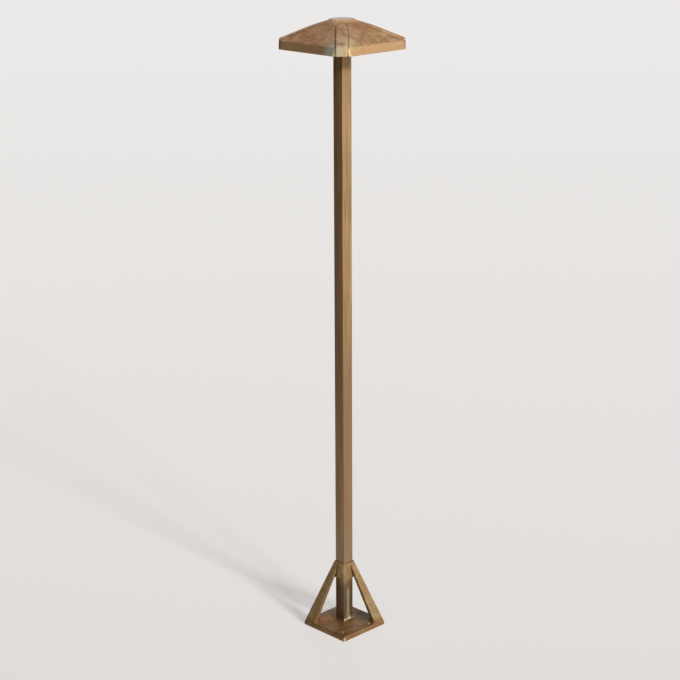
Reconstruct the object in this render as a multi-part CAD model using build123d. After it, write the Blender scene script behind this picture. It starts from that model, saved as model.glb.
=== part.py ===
from build123d import *
from math import cos, pi, sin, sqrt
import os

# A low voltage path light: a square post in a cast foot, under a cast pyramid hat.
# The lamp stands in a ceramic socket on top of the post, inside a frosted glass tube.
# Millimetres. The origin is under the middle of the foot, on the ground, and Z points up.
# The two holes of the foot lie on the diagonal through +X -Y, and the two legs on the other.

# Square tube of the post
post_side = 19.05
post_wall = 1.65
post_corner = 1.2
post_inner_corner = 0.4
post_length = 898.0

# Square foot of the base casting
base_side = 89.0
base_edge = 4.0
base_bevel = 3.0
base_bevel_run = 1.5
base_rise = 3.0
base_corner = 0.8
groove_land = 0.7
groove_width = 1.1
groove_depth = 0.6
seat_level = 8.0
boss_wall = 1.0
boss_step = 1.8
boss_corner = 1.8

# Underside of the foot
rim_wall = 4.5
pocket_depth = 3.6
pocket_corner = 4.0
web_thickness = 3.0
nut_pocket_radius = 13.0
pad_radius = 6.2

# Fixing holes of the foot
hole_reach = 46.4
hole_radius = 2.6
sink_radius = 4.6
sink_depth = 2.0

# Two corner legs and the collar round the post
collar_top = 108.5
collar_height = 26.8
collar_wall = 1.9
collar_corner = 3.2
leg_top_side = 21.3
leg_face_foot = 19.0
leg_face_top = 8.5
leg_flank_foot = 7.0
leg_flank_top = 5.2
leg_foot_radius = 3.5
post_gap = 0.2

# Set screws in the two back faces of the collar
set_screw_drop = 13.5
set_screw_radius = 2.5
set_screw_length = 5.0
set_screw_key = 2.5
set_screw_key_depth = 2.4
set_pad_radius = 4.2
set_pad_height = 2.4
thread_gap = 0.06

# Plug, hollow nipple, washer and nut that hold the post down on the foot
plug_height = 14.0
nipple_radius = 5.0
nipple_wall = 1.4
nipple_rise = 11.5
nipple_drop = 3.8
nut_across_flats = 14.0
nut_thickness = 2.6
nipple_washer_radius = 9.0
nipple_washer_thickness = 0.8
grommet_wall = 0.8
grommet_length = 6.0
grommet_lip_radius = 4.6
grommet_lip = 0.8
fit_gap = 0.08

# Plate and spigot on top of the post, which carry the socket, the glass and the hat
flange_side = 44.0
flange_corner = 6.0
flange_thickness = 4.0
spigot_length = 22.0
spigot_gap = 0.1
lead_bore_radius = 4.5

# Screws through the tube into the spigot
head_screw_drop = 12.5
head_screw_radius = 1.5
head_screw_grip = 4.6
head_screw_cap_radius = 2.7
head_screw_cap = 1.5
head_screw_chamfer = 0.7
head_screw_key = 1.6
head_screw_key_depth = 0.9

# Ceramic lamp socket, its contacts, its clamping ring and the screws of the ring
socket_radius = 6.0
socket_depth = 13.0
socket_shoulder_radius = 7.4
socket_shoulder = 2.4
socket_nose_radius = 5.0
socket_nose = 1.0
ring_radius = 11.4
ring_thickness = 0.8
ring_screw_reach = 9.3
ring_screw_radius = 1.0
ring_screw_length = 3.0
ring_screw_cap_radius = 1.8
ring_screw_cap = 1.2
ring_screw_slot = 0.5
ring_screw_slot_depth = 0.5
contact_cell_length = 3.0
contact_cell_width = 3.2
contact_roof = 3.0
contact_strip = 0.3
contact_width = 1.8
contact_height = 6.5

# Plug-in lamp
pin_pitch = 4.0
pin_radius = 0.35
pin_length = 8.6
pin_root = 1.0
pin_chamfer = 0.15
pin_gap = 0.15
lamp_radius = 7.0
lamp_foot = 3.5
lamp_neck = 1.5
lamp_height = 18.6
cover_wall = 0.8
core_flats = 6.6
core_height = 10.0
led_width = 2.2
led_height = 2.6
led_thickness = 0.7
led_pitch = 3.2
led_rows = 3
led_columns = 6

# Frosted glass tube and its two seals
glass_radius = 16.0
glass_wall = 2.4
glass_height = 29.2
seal_margin = 0.4
seal_thickness = 1.5
seal_seat = 0.7

# Cast hat
hat_rim_side = 145.0
hat_rim_facet = 25.0
hat_brow_facet = 17.0
skirt_flare = 3.25
skirt_height = 12.5
hat_height = 42.2
roof_flat_side = 31.78
hat_wall = 3.0
cap_radius = 20.0
cap_depth = 6.0
cap_flare = 4.0
cap_rise = 1.0
band_width = 16.5
band_proud = 1.9
band_skirt_proud = 0.4
band_root = 1.8
band_end_reach = 23.5
band_arch = 17.0

# Two pillars brazed into bosses of the hat and tapped for the thumb screws
pillar_reach = 24.0
pillar_radius = 4.2
pillar_tenon_radius = 3.0
pillar_tenon = 2.5
pillar_boss_radius = 6.0
pillar_boss = 0.4
tapped_depth = 12.0

# Thumb screws that hold the hat down, and their washers
thumb_radius = 2.0
thumb_engagement = 10.0
thumb_head_radius = 4.6
thumb_head = 6.0
thumb_flutes = 16
thumb_flute_radius = 0.5
thumb_chamfer = 0.5
thumb_washer_radius = 4.6
thumb_washer = 0.8

# Levels and sizes that follow from those above
cut_over = 1.0
bevel_top = base_edge + base_bevel
boss_foot = bevel_top + base_rise
boss_top = boss_foot + boss_step
land_side = base_side - 2 * base_bevel_run
boss_side = post_side + 2 * (post_gap + boss_wall)
collar_bottom = collar_top - collar_height
collar_side = post_side + 2 * (post_gap + collar_wall)
web_bottom = seat_level - web_thickness
hole_offset = hole_reach / sqrt(2)
post_inner = post_side - 2 * post_wall
post_top = seat_level + post_length
flange_top = post_top + flange_thickness
socket_bottom = flange_top - socket_depth
ring_top = flange_top + ring_thickness
nose_top = flange_top + socket_nose
lamp_foot_top = nose_top + lamp_foot
lamp_top = nose_top + lamp_height
glass_bottom = flange_top - seal_seat + seal_thickness
glass_top = glass_bottom + glass_height
ceiling = glass_top + seal_thickness
hat_brow_side = hat_rim_side - 2 * skirt_flare
roof_slope = 2 * (hat_height - skirt_height) / (hat_brow_side - roof_flat_side)
hip_slope = roof_slope / sqrt(2)
roof_thickness = hat_wall * sqrt(1 + roof_slope ** 2)
hat_top = ceiling + roof_thickness + cap_rise
rim_level = hat_top - hat_height
brow_level = rim_level + skirt_height
rim_reach = (sqrt(2) * hat_rim_side - hat_rim_facet) / 2
brow_reach = (sqrt(2) * hat_brow_side - hat_brow_facet) / 2
inner_brow = brow_level - roof_thickness + hat_wall * roof_slope
pillar_top = inner_brow + hip_slope * (brow_reach - hat_wall - pillar_reach - pillar_radius) - pillar_boss
pillar_offset = pillar_reach / sqrt(2)


def bar(side, low, high, corner):
    """Upright square bar with rounded corners."""
    outline = RectangleRounded(side, side, corner)
    return extrude(Pos(0, 0, low) * outline, amount=high - low)


def rod(radius, low, high, x=0.0, y=0.0):
    """Upright round bar."""
    solid = Cylinder(radius, high - low, align=(Align.CENTER, Align.CENTER, Align.MIN))
    return Pos(x, y, low) * solid


def ring(outer, inner, low, high, x=0.0, y=0.0):
    """Upright tube or washer."""
    return rod(outer, low, high, x, y) - rod(inner, low - cut_over, high + cut_over, x, y)


def taper(low_outline, low, high_outline, high):
    """Straight-sided solid between two flat outlines."""
    return loft([Pos(0, 0, low) * low_outline, Pos(0, 0, high) * high_outline], ruled=True)


def cut_square(side, facet):
    """Square outline with its corners cut to facets of this width."""
    outline = Rectangle(side, side)
    return chamfer(outline.vertices(), facet / sqrt(2))


def foot_plate():
    """Square plate with a plain edge, a bevel, a groove and a top that sheds water."""
    plate = bar(base_side, 0, base_edge, base_corner)
    land = Rectangle(land_side, land_side)
    plate += taper(Rectangle(base_side, base_side), base_edge, land, bevel_top)
    plate += taper(land, bevel_top, Rectangle(boss_side, boss_side), boss_foot)
    groove_side = land_side - 2 * groove_land
    groove = Rectangle(groove_side, groove_side)
    groove -= Rectangle(groove_side - 2 * groove_width, groove_side - 2 * groove_width)
    floor = bevel_top - groove_depth
    plate -= extrude(Pos(0, 0, floor) * groove, amount=base_rise + groove_depth)
    return plate + bar(boss_side, base_edge, boss_top, boss_corner)


def leg_window(turn, half_foot, half_top):
    """Tapering opening with round lower corners, cut straight through the leg frame."""
    lean = (half_foot - half_top) / (collar_top - bevel_top)
    high = collar_top + cut_over
    half_high = half_top - lean * cut_over
    left = [(-half_high, high), (-half_foot, bevel_top)]
    right = [(half_foot, bevel_top), (half_high, high)]
    outline = Polygon(*left, *right, align=None)
    outline = fillet(outline.vertices().sort_by(Axis.Y)[:2], leg_foot_radius)
    return Rot(0, 0, turn) * extrude(Plane.XZ * outline, amount=base_side, both=True)


def corner_legs():
    """Two leaning corner legs, left of a pyramid frame by openings in three directions."""
    foot = Rectangle(base_side, base_side)
    top = Rectangle(leg_top_side, leg_top_side)
    legs = taper(foot, base_edge, top, collar_top)
    lean = (base_side - leg_top_side) / 2 / (collar_top - base_edge)
    half_foot = base_side / 2 - lean * base_bevel
    half_top = leg_top_side / 2
    for turn in (0, 90):
        legs -= leg_window(turn, half_foot - leg_face_foot, half_top - leg_face_top)
    deep_foot = sqrt(2) * half_foot - (leg_face_foot + leg_flank_foot) / sqrt(2)
    deep_top = sqrt(2) * half_top - (leg_face_top + leg_flank_top) / sqrt(2)
    legs -= leg_window(45, deep_foot, deep_top)
    for side in (1, -1):
        corner = Box(base_side, base_side, 2 * collar_top)
        legs -= Pos(side * base_side / 2, -side * base_side / 2, collar_top) * corner
    return legs


def back_faces():
    """Turns that carry a shape on the +X side to the two faces away from the front corner."""
    return [Rot(0, 0, 90), Rot(0, 0, 180)]


def side_rod(radius, near, far, level):
    """Round bar along X, from near to far, at a height."""
    solid = Cylinder(radius, far - near, align=(Align.CENTER, Align.CENTER, Align.MIN))
    return Pos(near, 0, level) * Rot(0, 90, 0) * solid


def base_casting():
    """Foot, legs and collar, cast in one piece."""
    body = foot_plate() + corner_legs()
    body += bar(collar_side, collar_bottom, collar_top, collar_corner)
    level = collar_top - set_screw_drop
    face = collar_side / 2
    for turn in back_faces():
        body += turn * side_rod(set_pad_radius, face - collar_wall, face + set_pad_height, level)
    passage = post_side + 2 * post_gap
    body -= bar(passage, seat_level, collar_top + cut_over, post_corner + post_gap)
    for turn in back_faces():
        reach = face + set_pad_height + cut_over
        body -= turn * side_rod(set_screw_radius + thread_gap, 0, reach, level)
    pocket = bar(base_side - 2 * rim_wall, -cut_over, pocket_depth, pocket_corner)
    for side in (1, -1):
        pocket -= rod(pad_radius, -2 * cut_over, bevel_top, side * hole_offset, -side * hole_offset)
    body -= pocket
    body -= rod(nut_pocket_radius, -cut_over, web_bottom)
    body -= rod(nipple_radius + fit_gap, 0, seat_level + cut_over)
    for side in (1, -1):
        body -= fixing_hole(side * hole_offset, -side * hole_offset)
    return body


def fixing_hole(x, y):
    """Countersunk hole in the sloping top of the foot."""
    fall = base_rise * (land_side / 2 - hole_offset) / (land_side - boss_side) * 2
    mouth = bevel_top + fall
    hole = rod(hole_radius, -cut_over, mouth, x, y)
    sink = Cone(hole_radius, sink_radius, sink_depth, align=(Align.CENTER, Align.CENTER, Align.MIN))
    hole += Pos(x, y, mouth - sink_depth) * sink
    return hole + rod(sink_radius, mouth, boss_top, x, y)


def post_tube():
    """Square tube with the holes of the head screws."""
    tube = bar(post_side, seat_level, post_top, post_corner)
    tube -= bar(post_inner, seat_level - cut_over, post_top + cut_over, post_inner_corner)
    for turn in back_faces():
        hole = side_rod(head_screw_radius + thread_gap, 0, post_side, post_top - head_screw_drop)
        tube -= turn * hole
    return tube


def collar_set_screws():
    """Two hexagon socket set screws, tight on the post."""
    start = post_side / 2
    level = collar_top - set_screw_drop
    screw = side_rod(set_screw_radius, start, start + set_screw_length, level)
    key = RegularPolygon(set_screw_key / 2, 6, major_radius=False)
    depth = start + set_screw_length - set_screw_key_depth
    mouth = Pos(depth, 0, level) * Rot(0, 90, 0) * key
    screw -= extrude(mouth, amount=set_screw_key_depth + cut_over)
    return Compound(children=[turn * screw for turn in back_faces()])


def foot_plug():
    """Square plug brazed into the bottom of the post and tapped for the nipple."""
    plug = bar(post_inner, seat_level, seat_level + plug_height, post_inner_corner)
    return plug - rod(nipple_radius + fit_gap, 0, seat_level + plug_height + cut_over)


def cable_nipple():
    """Hollow threaded rod that pulls the post down and lets the cable through."""
    low = web_bottom - nipple_drop
    return ring(nipple_radius, nipple_radius - nipple_wall, low, seat_level + nipple_rise)


def nipple_washer():
    """Flat washer under the web of the foot."""
    low = web_bottom - nipple_washer_thickness
    return ring(nipple_washer_radius, nipple_radius + fit_gap, low, web_bottom)


def nipple_nut():
    """Thin hexagon nut in the pocket of the foot."""
    high = web_bottom - nipple_washer_thickness
    low = high - nut_thickness
    outline = RegularPolygon(nut_across_flats / 2, 6, major_radius=False)
    nut = extrude(Pos(0, 0, low) * outline, amount=nut_thickness)
    return nut - rod(nipple_radius + thread_gap, low - cut_over, high + cut_over)


def cable_grommet():
    """Rubber bush in the lower end of the nipple."""
    end = web_bottom - nipple_drop
    sleeve = nipple_radius - nipple_wall - thread_gap
    bush = rod(sleeve, end, end + grommet_length)
    bush += rod(grommet_lip_radius, end - grommet_lip, end)
    return bush - rod(sleeve - grommet_wall, 0, end + grommet_length + cut_over)


def head_plate():
    """Square plate on top of the post, which takes the socket, the glass and the hat."""
    plate = bar(flange_side, post_top, flange_top, flange_corner)
    plate -= rod(socket_radius + fit_gap, post_top - cut_over, flange_top + cut_over)
    plate -= rod(socket_shoulder_radius + fit_gap, flange_top - socket_shoulder, flange_top + cut_over)
    outer = glass_radius + seal_margin
    inner = glass_radius - glass_wall - seal_margin
    plate -= ring(outer + fit_gap, inner - fit_gap, flange_top - seal_seat, flange_top + cut_over)
    for side in (1, -1):
        low = flange_top - ring_screw_length
        plate -= rod(ring_screw_radius + thread_gap, low, flange_top + cut_over, side * ring_screw_reach)
        at = side * pillar_offset
        plate -= rod(thumb_radius + fit_gap, post_top - cut_over, flange_top + cut_over, at, -at)
    return plate


def head_spigot():
    """Square block brazed under the plate, which fits the top of the post."""
    low = post_top - spigot_length
    block = bar(post_inner - 2 * spigot_gap, low, post_top, post_inner_corner)
    block -= rod(socket_radius + fit_gap, socket_bottom, post_top + cut_over)
    block -= rod(lead_bore_radius, low - cut_over, post_top)
    level = post_top - head_screw_drop
    for turn in back_faces():
        near = post_side / 2 - head_screw_grip
        block -= turn * side_rod(head_screw_radius + thread_gap, near, post_side, level)
    return block


def head_screws():
    """Two button head screws through the back faces of the post."""
    face = post_side / 2
    level = post_top - head_screw_drop
    screw = side_rod(head_screw_radius, face - head_screw_grip, face, level)
    cap = side_rod(head_screw_cap_radius, face, face + head_screw_cap, level)
    screw += chamfer(cap.edges().filter_by(GeomType.CIRCLE).sort_by(Axis.X)[-1], head_screw_chamfer)
    key = RegularPolygon(head_screw_key / 2, 6, major_radius=False)
    mouth = Pos(face + head_screw_cap - head_screw_key_depth, 0, level) * Rot(0, 90, 0) * key
    screw -= extrude(mouth, amount=head_screw_key_depth + cut_over)
    return Compound(children=[turn * screw for turn in back_faces()])


def pin_places():
    """X of the two lamp pins."""
    return [-pin_pitch / 2, pin_pitch / 2]


def lamp_socket():
    """Round ceramic socket with a shoulder, a nose and a cell for each contact."""
    body = rod(socket_radius, socket_bottom, flange_top)
    body += rod(socket_shoulder_radius, flange_top - socket_shoulder, flange_top)
    body += rod(socket_nose_radius, flange_top, nose_top)
    for x in pin_places():
        body -= rod(pin_radius + pin_gap, socket_bottom, nose_top + cut_over, x)
        cell_height = socket_depth - contact_roof
        cell = Box(contact_cell_length, contact_cell_width, cell_height + cut_over)
        body -= Pos(x, 0, socket_bottom + (cell_height - cut_over) / 2) * cell
    return body


def socket_contacts():
    """Two springy strips folded round the pins, under the roof of each cell."""
    strips = []
    high = flange_top - contact_roof
    gap = pin_radius + thread_gap
    low = high - contact_height
    for x in pin_places():
        height = contact_height
        outer = Box(contact_width, 2 * (gap + contact_strip), height)
        inner = Box(contact_width + cut_over, 2 * gap, height)
        strip = Pos(x, 0, low + height / 2) * outer
        strip -= Pos(x, 0, low + height / 2 + contact_strip) * inner
        strips.append(strip)
    return Compound(children=strips)


def socket_ring():
    """Flat ring that clamps the shoulder of the socket."""
    plate = ring(ring_radius, socket_nose_radius + fit_gap, flange_top, ring_top)
    for side in (1, -1):
        low = flange_top - cut_over
        plate -= rod(ring_screw_radius + fit_gap, low, ring_top + cut_over, side * ring_screw_reach)
    return plate


def ring_screws():
    """Two slotted screws of the clamping ring."""
    screws = []
    for side in (1, -1):
        x = side * ring_screw_reach
        screw = rod(ring_screw_radius, flange_top - ring_screw_length, ring_top, x)
        screw += rod(ring_screw_cap_radius, ring_top, ring_top + ring_screw_cap, x)
        slot = Box(3 * ring_screw_cap_radius, ring_screw_slot, 2 * ring_screw_slot_depth)
        screw -= Pos(x, 0, ring_top + ring_screw_cap) * slot
        screws.append(screw)
    return Compound(children=screws)


def seal(low):
    """Flat silicone ring, a little wider than the wall of the glass."""
    outer = glass_radius + seal_margin
    return ring(outer, glass_radius - glass_wall - seal_margin, low, low + seal_thickness)


def lens_glass():
    """Frosted glass tube."""
    return ring(glass_radius, glass_radius - glass_wall, glass_bottom, glass_top)


def lamp_base():
    """Moulded foot of the lamp with a neck inside the cover."""
    foot = rod(lamp_radius, nose_top, lamp_foot_top)
    foot += rod(lamp_radius - cover_wall, lamp_foot_top, lamp_foot_top + lamp_neck)
    for x in pin_places():
        foot -= rod(pin_radius, nose_top - cut_over, nose_top + pin_root, x)
    return foot


def lamp_pins():
    """Two pins with chamfered ends."""
    pins = []
    for x in pin_places():
        pin = rod(pin_radius, nose_top - pin_length, nose_top + pin_root, x)
        tip = pin.edges().filter_by(GeomType.CIRCLE).sort_by(Axis.Z)[0]
        pins.append(chamfer(tip, pin_chamfer))
    return Compound(children=pins)


def lamp_core():
    """Six-sided carrier of the light chips."""
    low = lamp_foot_top + lamp_neck
    outline = RegularPolygon(core_flats / 2, led_columns, major_radius=False)
    return extrude(Pos(0, 0, low) * outline, amount=core_height)


def lamp_leds():
    """Rows of light chips on each side of the carrier, and one on its end."""
    low = lamp_foot_top + lamp_neck
    chips = []
    for column in range(led_columns):
        turn = Rot(0, 0, 360 / led_columns * (column + 0.5))
        for row in range(led_rows):
            level = low + core_height / 2 + led_pitch * (row - (led_rows - 1) / 2)
            chip = Box(led_thickness, led_width, led_height)
            chips.append(turn * Pos((core_flats + led_thickness) / 2, 0, level) * chip)
    end = Box(led_height, led_width, led_thickness)
    chips.append(Pos(0, 0, low + core_height + led_thickness / 2) * end)
    return Compound(children=chips)


def lamp_cover():
    """Clear domed cover of the lamp."""
    shoulder = lamp_top - lamp_radius
    outer = rod(lamp_radius, lamp_foot_top, shoulder) + Pos(0, 0, shoulder) * Sphere(lamp_radius)
    bore = lamp_radius - cover_wall
    inner = rod(bore, lamp_foot_top - cut_over, shoulder) + Pos(0, 0, shoulder) * Sphere(bore)
    return outer - inner


def roof_side(level, side, start):
    """Side of the square section of a roof that has this side at the start level."""
    return side - 2 * (level - start) / roof_slope


def hat_shell(side_cut, foot, brow, high):
    """Skirt and roof as one solid, drawn in from the outer faces by side_cut."""
    narrower = 2 * side_cut * (sqrt(2) - 1)
    rim = cut_square(hat_rim_side - 2 * side_cut, hat_rim_facet - narrower)
    brow_side = hat_brow_side - 2 * side_cut
    brow_outline = cut_square(brow_side, hat_brow_facet - narrower)
    top = cut_square(roof_side(high, brow_side, brow), hat_brow_facet - narrower)
    return taper(rim, foot, brow_outline, brow) + taper(brow_outline, brow, top, high)


def hip_band():
    """Flat raised band up one corner of the hat, with an arched end below the cap."""
    rim_x = rim_reach + band_skirt_proud
    brow_x = brow_reach + band_skirt_proud
    brow_z = brow_level + band_proud - hip_slope * band_skirt_proud
    end_z = brow_z + hip_slope * (brow_x - band_end_reach)
    drop = band_proud + band_root
    outer = [(rim_x, rim_level), (brow_x, brow_z), (band_end_reach, end_z)]
    inner_x = brow_reach - band_root
    inner = [(band_end_reach, end_z - drop), (inner_x, brow_level - band_root / 2), (inner_x, rim_level)]
    profile = Polygon(*outer, *inner, align=None)
    strip = extrude(Plane.XZ * profile, amount=band_width / 2, both=True)
    centre = band_end_reach + band_arch
    plan = Pos((centre + 2 * rim_x) / 2, 0) * Rectangle(2 * rim_x - centre, band_width)
    plan += Pos(centre, 0) * Ellipse(band_arch, band_width / 2)
    return strip & extrude(Pos(0, 0, rim_level) * plan, amount=hat_height)


def hat_casting():
    """Pyramid hat with a flared skirt, raised hips and a round cap."""
    hat = hat_shell(0, rim_level, brow_level, hat_top)
    cone = Cone(cap_radius + cap_flare, cap_radius, cap_depth)
    hat += Pos(0, 0, hat_top - cap_depth / 2) * cone
    band = hip_band()
    for quarter in range(4):
        hat += Rot(0, 0, 45 + 90 * quarter) * band
    cavity = hat_shell(hat_wall, rim_level, inner_brow, ceiling)
    for side in (1, -1):
        at = side * pillar_offset
        cavity -= rod(pillar_boss_radius, pillar_top, ceiling + cut_over, at, -at)
        tenon_hole = rod(pillar_tenon_radius + fit_gap, pillar_top - cut_over, pillar_top + pillar_tenon)
        cavity += Pos(at, -at, 0) * tenon_hole
    return hat - cavity


def screw_pillars():
    """Two turned pillars with a tenon at the top and a tapped hole at the bottom."""
    pillars = []
    for side in (1, -1):
        at = side * pillar_offset
        pillar = rod(pillar_radius, flange_top, pillar_top, at, -at)
        pillar += rod(pillar_tenon_radius, pillar_top, pillar_top + pillar_tenon, at, -at)
        pillar -= rod(thumb_radius + fit_gap, flange_top - cut_over, flange_top + tapped_depth, at, -at)
        pillars.append(pillar)
    return Compound(children=pillars)


def thumb_screw(side):
    """Knurled thumb screw from below the flange into a pillar of the hat."""
    at = side * pillar_offset
    head_top = post_top - thumb_washer
    head = rod(thumb_head_radius, head_top - thumb_head, head_top)
    head = chamfer(head.edges().filter_by(GeomType.CIRCLE), thumb_chamfer)
    for flute in range(thumb_flutes):
        angle = 2 * pi * flute / thumb_flutes
        x = thumb_head_radius * cos(angle)
        y = thumb_head_radius * sin(angle)
        head -= rod(thumb_flute_radius, head_top - thumb_head - cut_over, head_top + cut_over, x, y)
    head += rod(thumb_radius, head_top - thumb_head / 2, flange_top + thumb_engagement)
    return Pos(at, -at, 0) * head


def thumb_screw_washer(side):
    """Flat washer between the flange and the head of a thumb screw."""
    at = side * pillar_offset
    return ring(thumb_washer_radius, thumb_radius + fit_gap, post_top - thumb_washer, post_top, at, -at)


nodes = {
    "base_casting": base_casting(),
    "post_tube": post_tube(),
    "collar_set_screws": collar_set_screws(),
    "foot_plug": foot_plug(),
    "cable_nipple": cable_nipple(),
    "nipple_washer": nipple_washer(),
    "nipple_nut": nipple_nut(),
    "cable_grommet": cable_grommet(),
    "head_plate": head_plate(),
    "head_spigot": head_spigot(),
    "head_screws": head_screws(),
    "lamp_socket": lamp_socket(),
    "socket_contacts": socket_contacts(),
    "socket_ring": socket_ring(),
    "ring_screws": ring_screws(),
    "lower_lens_seal": seal(flange_top - seal_seat),
    "lens_glass": lens_glass(),
    "upper_lens_seal": seal(glass_top),
    "lamp_base": lamp_base(),
    "lamp_pins": lamp_pins(),
    "lamp_core": lamp_core(),
    "lamp_leds": lamp_leds(),
    "lamp_cover": lamp_cover(),
    "hat_casting": hat_casting(),
    "screw_pillars": screw_pillars(),
    "front_thumb_screw": thumb_screw(1),
    "rear_thumb_screw": thumb_screw(-1),
    "front_screw_washer": thumb_screw_washer(1),
    "rear_screw_washer": thumb_screw_washer(-1),
}

os.makedirs("parts", exist_ok=True)
for name, shape in nodes.items():
    export_step(shape, f"parts/{name}.step")
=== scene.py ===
from math import atan2, cos, hypot, pi, radians, sin, sqrt

import bmesh
import bpy
import numpy as np
from mathutils import Matrix, Vector


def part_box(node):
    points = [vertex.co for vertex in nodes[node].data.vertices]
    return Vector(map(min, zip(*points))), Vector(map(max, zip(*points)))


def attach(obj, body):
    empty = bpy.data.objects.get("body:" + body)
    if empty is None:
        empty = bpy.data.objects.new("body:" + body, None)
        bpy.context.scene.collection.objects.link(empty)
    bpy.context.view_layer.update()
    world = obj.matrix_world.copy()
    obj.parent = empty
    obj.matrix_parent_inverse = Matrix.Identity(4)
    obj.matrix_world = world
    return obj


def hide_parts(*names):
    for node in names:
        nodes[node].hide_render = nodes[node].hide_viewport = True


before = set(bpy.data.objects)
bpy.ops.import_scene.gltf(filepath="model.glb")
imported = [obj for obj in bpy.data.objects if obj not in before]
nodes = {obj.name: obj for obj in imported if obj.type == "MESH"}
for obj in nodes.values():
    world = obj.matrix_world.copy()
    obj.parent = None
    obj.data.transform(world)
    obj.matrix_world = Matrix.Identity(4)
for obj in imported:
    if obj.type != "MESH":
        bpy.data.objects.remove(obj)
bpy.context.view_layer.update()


# Base casting.
# The square foot, its two leaning corner legs and the collar are one sand casting in natural brass,
# fettled by hand, drilled for its fixing screws and left to age outdoors.

def seen(red, green, blue):
    """A colour as it looks on a screen, 0 to 255, made linear."""
    return tuple((part / 255) ** 2.2 for part in (red, green, blue)) + (1.0,)


def add(tree, kind, inputs=None, **settings):
    """A node with its settings made and its inputs set or linked, by socket name or number."""
    node = tree.nodes.new(kind)
    for key, value in settings.items():
        setattr(node, key, value)
    for key, value in (inputs or {}).items():
        if isinstance(value, bpy.types.NodeSocket):
            tree.links.new(value, node.inputs[key])
        else:
            node.inputs[key].default_value = value
    return node


def compute(tree, operation, first, second=0.0, third=0.0):
    """The result of one sum."""
    inputs = {0: first, 1: second, 2: third}
    return add(tree, "ShaderNodeMath", inputs, operation=operation).outputs[0]


def between(tree, factor, low, high):
    """A colour from low to high."""
    inputs = {0: factor, 6: low, 7: high}
    return add(tree, "ShaderNodeMix", inputs, data_type="RGBA").outputs[2]


def spread(tree, value, low, high, to_low=0.0, to_high=1.0):
    """A value taken from one range to another, with soft ends."""
    inputs = {0: value, 1: low, 2: high, 3: to_low, 4: to_high}
    return add(tree, "ShaderNodeMapRange", inputs, interpolation_type="SMOOTHSTEP").outputs[0]


def effect(name, inputs, outputs):
    """An empty shader group with named sockets, and its two end nodes."""
    tree = bpy.data.node_groups.new(name, "ShaderNodeTree")
    for label, kind, value in inputs:
        socket = tree.interface.new_socket(name=label, in_out="INPUT", socket_type=kind)
        socket.default_value = value
    for label in outputs:
        tree.interface.new_socket(name=label, in_out="OUTPUT", socket_type="NodeSocketFloat")
    return tree, add(tree, "NodeGroupInput").outputs, add(tree, "NodeGroupOutput").inputs


def noise(tree, vector, size, detail, roughness=0.5, distortion=0.0):
    """Noise whose lumps are about this size, in metres."""
    inputs = {"Vector": vector, "Detail": detail, "Roughness": roughness, "Distortion": distortion}
    node = add(tree, "ShaderNodeTexNoise", inputs)
    if isinstance(size, bpy.types.NodeSocket):
        tree.links.new(compute(tree, "DIVIDE", 1.0, size), node.inputs["Scale"])
    else:
        node.inputs["Scale"].default_value = 1 / size
    return node.outputs["Fac"]


def shifted(tree, vector, offset):
    """The same pattern seen from elsewhere, so that two noises differ."""
    return add(tree, "ShaderNodeVectorMath", {0: vector, 1: offset}, operation="ADD").outputs[0]


def weathering():
    """Soft patches, a slow drift, small specks and thin smears, as on brass that has stood outdoors."""
    vector = ("Vector", "NodeSocketVector", (0, 0, 0))
    size = ("Patch Size", "NodeSocketFloat", 0.02)
    tree, given, made = effect("weathering", [vector, size], ["Patches", "Drift", "Specks", "Smears"])
    patches = noise(tree, given["Vector"], given["Patch Size"], 5, 0.6, 0.6)
    tree.links.new(spread(tree, patches, 0.38, 0.66), made["Patches"])
    wide = compute(tree, "MULTIPLY", given["Patch Size"], 3.1)
    drift = noise(tree, shifted(tree, given["Vector"], (0.31, 0.17, 0.53)), wide, 3, 0.5, 0.3)
    tree.links.new(spread(tree, drift, 0.36, 0.64), made["Drift"])
    specks = noise(tree, given["Vector"], 0.0011, 2, 0.7)
    tree.links.new(spread(tree, specks, 0.58, 0.72), made["Specks"])
    swirl = noise(tree, shifted(tree, given["Vector"], (0.71, 0.43, 0.12)), given["Patch Size"], 3, 0.5, 1.6)
    line = compute(tree, "ABSOLUTE", compute(tree, "SUBTRACT", swirl, 0.5))
    tree.links.new(spread(tree, line, 0.05, 0.0), made["Smears"])
    return tree


def relief():
    """Masks for the crests of a piece, worn pale or given a painted highlight, and for its dirty hollows."""
    crest = ("Crest Width", "NodeSocketFloat", 0.0012)
    hollow = ("Hollow Width", "NodeSocketFloat", 0.004)
    tree, given, made = effect("relief", [crest, hollow], ["Crest", "Hollow"])
    inside = add(tree, "ShaderNodeAmbientOcclusion", {"Distance": given["Crest Width"]},
                 inside=True, only_local=True, samples=8)
    outside = add(tree, "ShaderNodeAmbientOcclusion", {"Distance": given["Hollow Width"]},
                  only_local=True, samples=8)
    tree.links.new(spread(tree, inside.outputs["AO"], 0.62, 0.25), made["Crest"])
    tree.links.new(spread(tree, outside.outputs["AO"], 0.92, 0.45), made["Hollow"])
    return tree


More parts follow.
